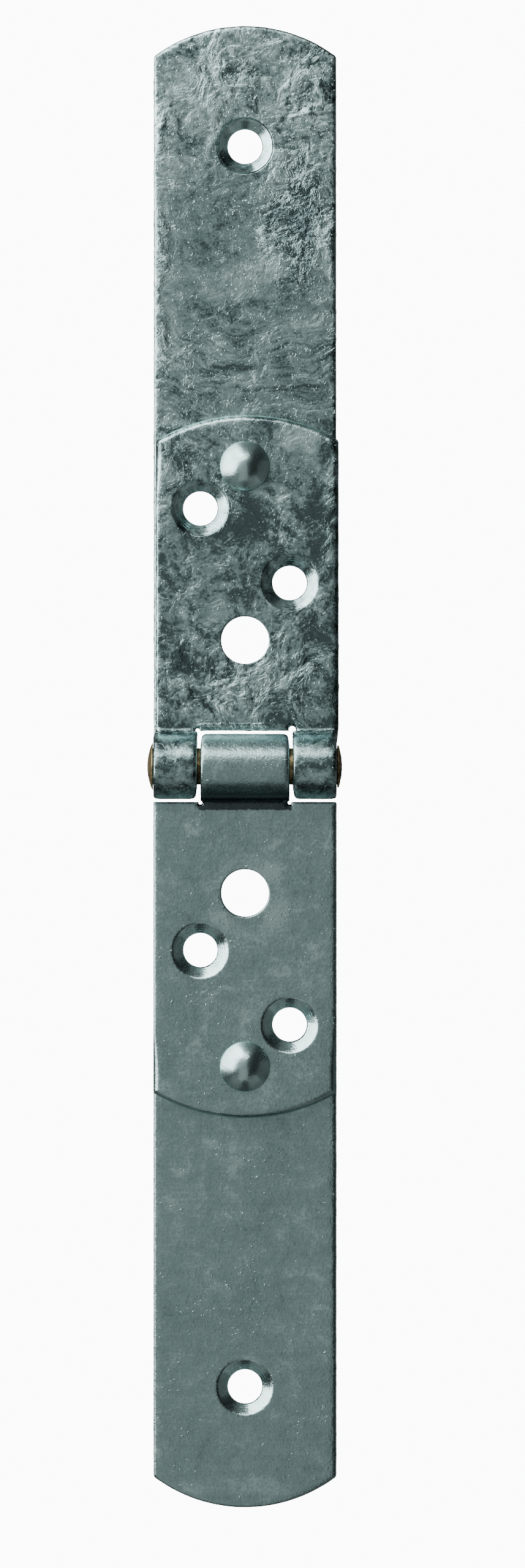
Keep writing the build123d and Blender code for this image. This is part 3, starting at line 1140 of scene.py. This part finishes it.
def brass_finish(look):
    """Old brass with brown tarnish in patches."""
    nodes = Finish("Aged brass")
    patch = nodes.noise(nodes.place, 2.2 * MM, 5.0, 0.65, 0.3)
    grain = nodes.noise(nodes.place, 0.3 * MM, 3.0, 0.6)
    share = nodes.fade(patch * 0.75 + grain * 0.25, 0.42, 0.6)
    return nodes.paint(
        Base_Color=nodes.blend(share, tuple(look.brass), tuple(look.tarnish)),
        Metallic=0.9,
        Roughness=0.34 + share * 0.25,
        Normal=nodes.bump(patch + grain * 0.4, 0.1 * MM),
    )


class HINGE_OT_stage(bpy.types.Operator):
    """Lays the pale floor, and sets the soft light and the camera of the photograph"""

    bl_idname = "hinge.stage"
    bl_label = "Set the stage"

    def execute(self, context):
        _, _, look = settings()
        self.floor(look)
        self.lights(look)
        self.camera(look)
        return {"FINISHED"}

    def floor(self, look):
        """A pale floor, further below than a leaf swings, that glows in the picture."""
        mesh = bpy.data.meshes.new("floor")
        side, depth, faint_glow = 8.0, 1.15 * LEAF_HIGH.y, 0.12
        corners = [(-side, -side), (side, -side), (side, side), (-side, side)]
        mesh.from_pydata([(x, y, -depth) for x, y in corners], [], [(0, 1, 2, 3)])
        floor = new_piece("floor", mesh)
        nodes = Finish("Pale floor")
        nodes.paint(Base_Color=tuple(look.floor), Roughness=0.9)
        seen = nodes.add("ShaderNodeLightPath", out="Is Camera Ray")
        soft, glow = (
            nodes.add("ShaderNodeEmission", {}, {"Color": tuple(look.floor), "Strength": strength})
            for strength in (faint_glow, look.glow)
        )
        both = nodes.add("ShaderNodeMixShader", {}, {0: seen, 1: soft, 2: glow})
        nodes.tree.links.new(both.socket, nodes.tree.nodes["Material Output"].inputs["Surface"])
        mesh.materials.append(nodes.material)

    def soft_box(self, name, tilt, side, distance, width, height, radiance, slide=0.0):
        """A soft box that shines on the hinge.

        Tilt is its angle from overhead, and side its turn from +Y towards -X, in degrees.
        Distance, width, height and slide, a shift along X, are in metres.
        """
        light = bpy.data.lights.new(name, "AREA")
        light.shape = "RECTANGLE"
        light.size = width
        light.size_y = height
        light.energy = radiance * math.pi * width * height
        lamp = new_piece(name, light)
        tilt, side = math.radians(tilt), math.radians(side)
        way = Vector(
            (-math.sin(tilt) * math.sin(side), math.sin(tilt) * math.cos(side), math.cos(tilt))
        )
        lamp.location = way * distance + Vector((slide, 0, 0))
        lamp.rotation_euler = way.to_track_quat("Z", "Y").to_euler()
        lamp.visible_camera = False

    def lights(self, look):
        """A key light beyond the top, a near one at the left, dim ones round, and a dim room."""
        self.soft_box("key_light", 46, 8, 1.5, 0.9, 0.5, look.key_light)
        self.soft_box("overhead_light", -12, 0, 1.9, 1.5, 4.2, look.ambient, -0.35)
        self.soft_box("left_light", 63, 60, 0.4, 0.75, 0.38, look.left_light)
        self.soft_box("back_light", 76, 0, 2.2, 2.4, 1.3, look.back_light)
        self.soft_box("right_light", 74, -105, 2.0, 2.6, 1.1, look.right_light)
        for side in (-150, 150):
            self.soft_box("front_light", 70, side, 2.0, 1.3, 1.2, look.front_light)
        world = bpy.data.worlds.new("Dim room")
        world.use_nodes = True
        dim = 0.024
        room = Graph(world.node_tree)
        seen = room.add("ShaderNodeLightPath", out="Is Camera Ray")
        background = world.node_tree.nodes["Background"]
        room.plug(background.inputs["Color"], tuple(look.floor))
        room.plug(background.inputs["Strength"], dim + seen * (look.glow - dim))
        bpy.context.scene.world = world

    def camera(self, look):
        """Straight above, a little right of and below the pin's middle, as in the photograph."""
        data = bpy.data.cameras.new("camera")
        height = look.camera_height
        data.lens = data.sensor_width * height / PICTURE_HEIGHT
        data.clip_start = 0.05
        camera = new_piece("camera", data)
        camera.location = (PICTURE_SHIFT, -PICTURE_SHIFT, height)
        bpy.context.scene.camera = camera


class HINGE_OT_straps(bpy.types.Operator):
    """Folds both straps round the pin"""

    bl_idname = "hinge.straps"
    bl_label = "Fold the straps"

    def execute(self, context):
        sizes, look, _ = settings()
        tree = fold_tree()
        middle = sizes.middle_width / 2
        edge = middle + sizes.side_gap
        leaves = (
            ("upper", True, edge, LEAF_HIGH.x, 0.0, look.upper_relief, wiped_zinc_finish),
            ("lower", False, middle, 0.0, math.pi, look.lower_relief, dull_zinc_finish),
        )
        for side, windowed, cut_edge, fixed, turn, relief, finish in leaves:
            blank = Blank(sizes, windowed)
            piece = new_piece(f"{side}_strap", blank.mesh(f"{side}_blank"))
            values = {
                "Thickness": sizes.thickness,
                "Fold gap": sizes.fold_gap,
                "Crease radius": sizes.crease_radius,
                "Draw-in": sizes.draw_in,
                "Cut edge": cut_edge,
                "Fixed edge": fixed,
                "Turn": turn,
                "Relief": relief,
                "Seed": 3.0 + windowed,
                "Finish": finish(look),
            }
            apply_tree(piece, tree, values)
            mount(piece, f"{side}_side", f"{side}_leaf")
        return {"FINISHED"}


class HINGE_OT_rivets(bpy.types.Operator):
    """Sets a domed rivet through both layers of each strap"""

    bl_idname = "hinge.rivets"
    bl_label = "Set the rivets"

    def execute(self, context):
        sizes, look, _ = settings()
        tree = turned_tree()
        finish = rivet_finish(look)
        head = (RIVET_HIGH.x - RIVET_LOW.x) / 2
        seat = 2 * sizes.thickness + sizes.fold_gap
        shank, foot = sizes.shank_radius, sizes.foot_radius
        chamfer, rim_height, inset, steps = 0.1 * MM, 0.55 * MM, 0.02 * MM, 29
        profile = [(0, 0)] + straight((foot * 0.1, 0), (foot, 0), 12)
        profile += straight((foot, 0), (shank, foot - shank), 6)
        profile += straight((shank, foot - shank), (shank, seat), 8)
        profile += straight((shank, seat), (head - chamfer, seat), 5)
        profile += [(head - chamfer, seat), (head, seat + chamfer), (head, seat + 0.5 * MM)]
        rise = RIVET_HIGH.z - seat - rim_height
        for i in range(steps + 1):
            out = (1 - i / steps) * (head - inset)
            profile.append((out, RIVET_HIGH.z - rise * (out / head) ** 2))
        for side, sign in (("upper", 1), ("lower", -1)):
            piece = new_piece(f"{side}_rivet_dressed", turned_mesh(f"{side}_rivet", profile, 96))
            values = {
                "Place": (0, sign * (RIVET_LOW.y + RIVET_HIGH.y) / 2, 0),
                "Relief": 0.03 * MM,
                "Seed": 7.0 + sign,
                "Finish": finish,
            }
            apply_tree(piece, tree, values)
            mount(piece, f"{side}_side", f"{side}_rivet")
        return {"FINISHED"}


class HINGE_OT_pin(bpy.types.Operator):
    """Puts the brass pin through the knuckles and peens its end over"""

    bl_idname = "hinge.pin"
    bl_label = "Put in the pin"

    def execute(self, context):
        sizes, look, _ = settings()
        radius, head, peened = sizes.pin_radius, sizes.pin_head_radius, sizes.peened_radius
        head_rim, peened_rim = 0.2 * MM, 0.35 * MM
        side = LEAF_HIGH.x
        profile = [(r, -h) for r, h in reversed(dome(head, side + head_rim, -PIN_LOW.x, 16))]
        profile += [(head, -side)] + straight((radius, -side), (radius, side), 80)
        profile += [(radius, side), (peened, side)]
        profile += dome(peened, side + peened_rim, PIN_HIGH.x, 16)
        mesh = turned_mesh("pin", profile, 72)
        for vertex in mesh.vertices:
            x, y, z = vertex.co
            vertex.co = (z, y, -x)
        piece = new_piece("pin", mesh)
        values = {
            "Place": (0, 0, PIN_AXIS_HEIGHT),
            "Relief": 0.06 * MM,
            "Lump": 2.4 * MM,
            "Seed": 5.0,
            "Finish": brass_finish(look),
        }
        apply_tree(piece, turned_tree(), values)
        mount(piece, "upper_side", "hinge_pin")
        return {"FINISHED"}


class HINGE_PT_panel(bpy.types.Panel):
    """Lists the hinge's steps and settings"""

    bl_idname = "HINGE_PT_panel"
    bl_label = "Hatch hinge"
    bl_space_type = "VIEW_3D"
    bl_region_type = "UI"
    bl_category = "Hinge"

    def draw(self, context):
        for group in settings():
            box = self.layout.box()
            for name in group.__annotations__:
                box.prop(group, name)
        for operator in OPERATORS:
            self.layout.operator(operator.bl_idname)


GROUPS = (
    ("hinge_strap", StrapSizes),
    ("hinge_zinc", ZincLook),
    ("hinge_stage", StageLook),
)
OPERATORS = (HINGE_OT_stage, HINGE_OT_straps, HINGE_OT_rivets, HINGE_OT_pin)


def register():
    """Adds the settings, the operators and the panel to Blender."""
    for name, group in GROUPS:
        bpy.utils.register_class(group)
        setattr(bpy.types.Scene, name, bpy.props.PointerProperty(type=group))
    for operator in OPERATORS:
        bpy.utils.register_class(operator)
    bpy.utils.register_class(HINGE_PT_panel)


def unregister():
    """Takes them out again."""
    bpy.utils.unregister_class(HINGE_PT_panel)
    for operator in reversed(OPERATORS):
        bpy.utils.unregister_class(operator)
    for name, group in reversed(GROUPS):
        delattr(bpy.types.Scene, name)
        bpy.utils.unregister_class(group)


def main():
    """Makes the dressed hinge."""
    register()
    bpy.ops.hinge.stage()
    bpy.ops.hinge.straps()
    bpy.ops.hinge.rivets()
    bpy.ops.hinge.pin()


if __name__ == "__main__":
    main()
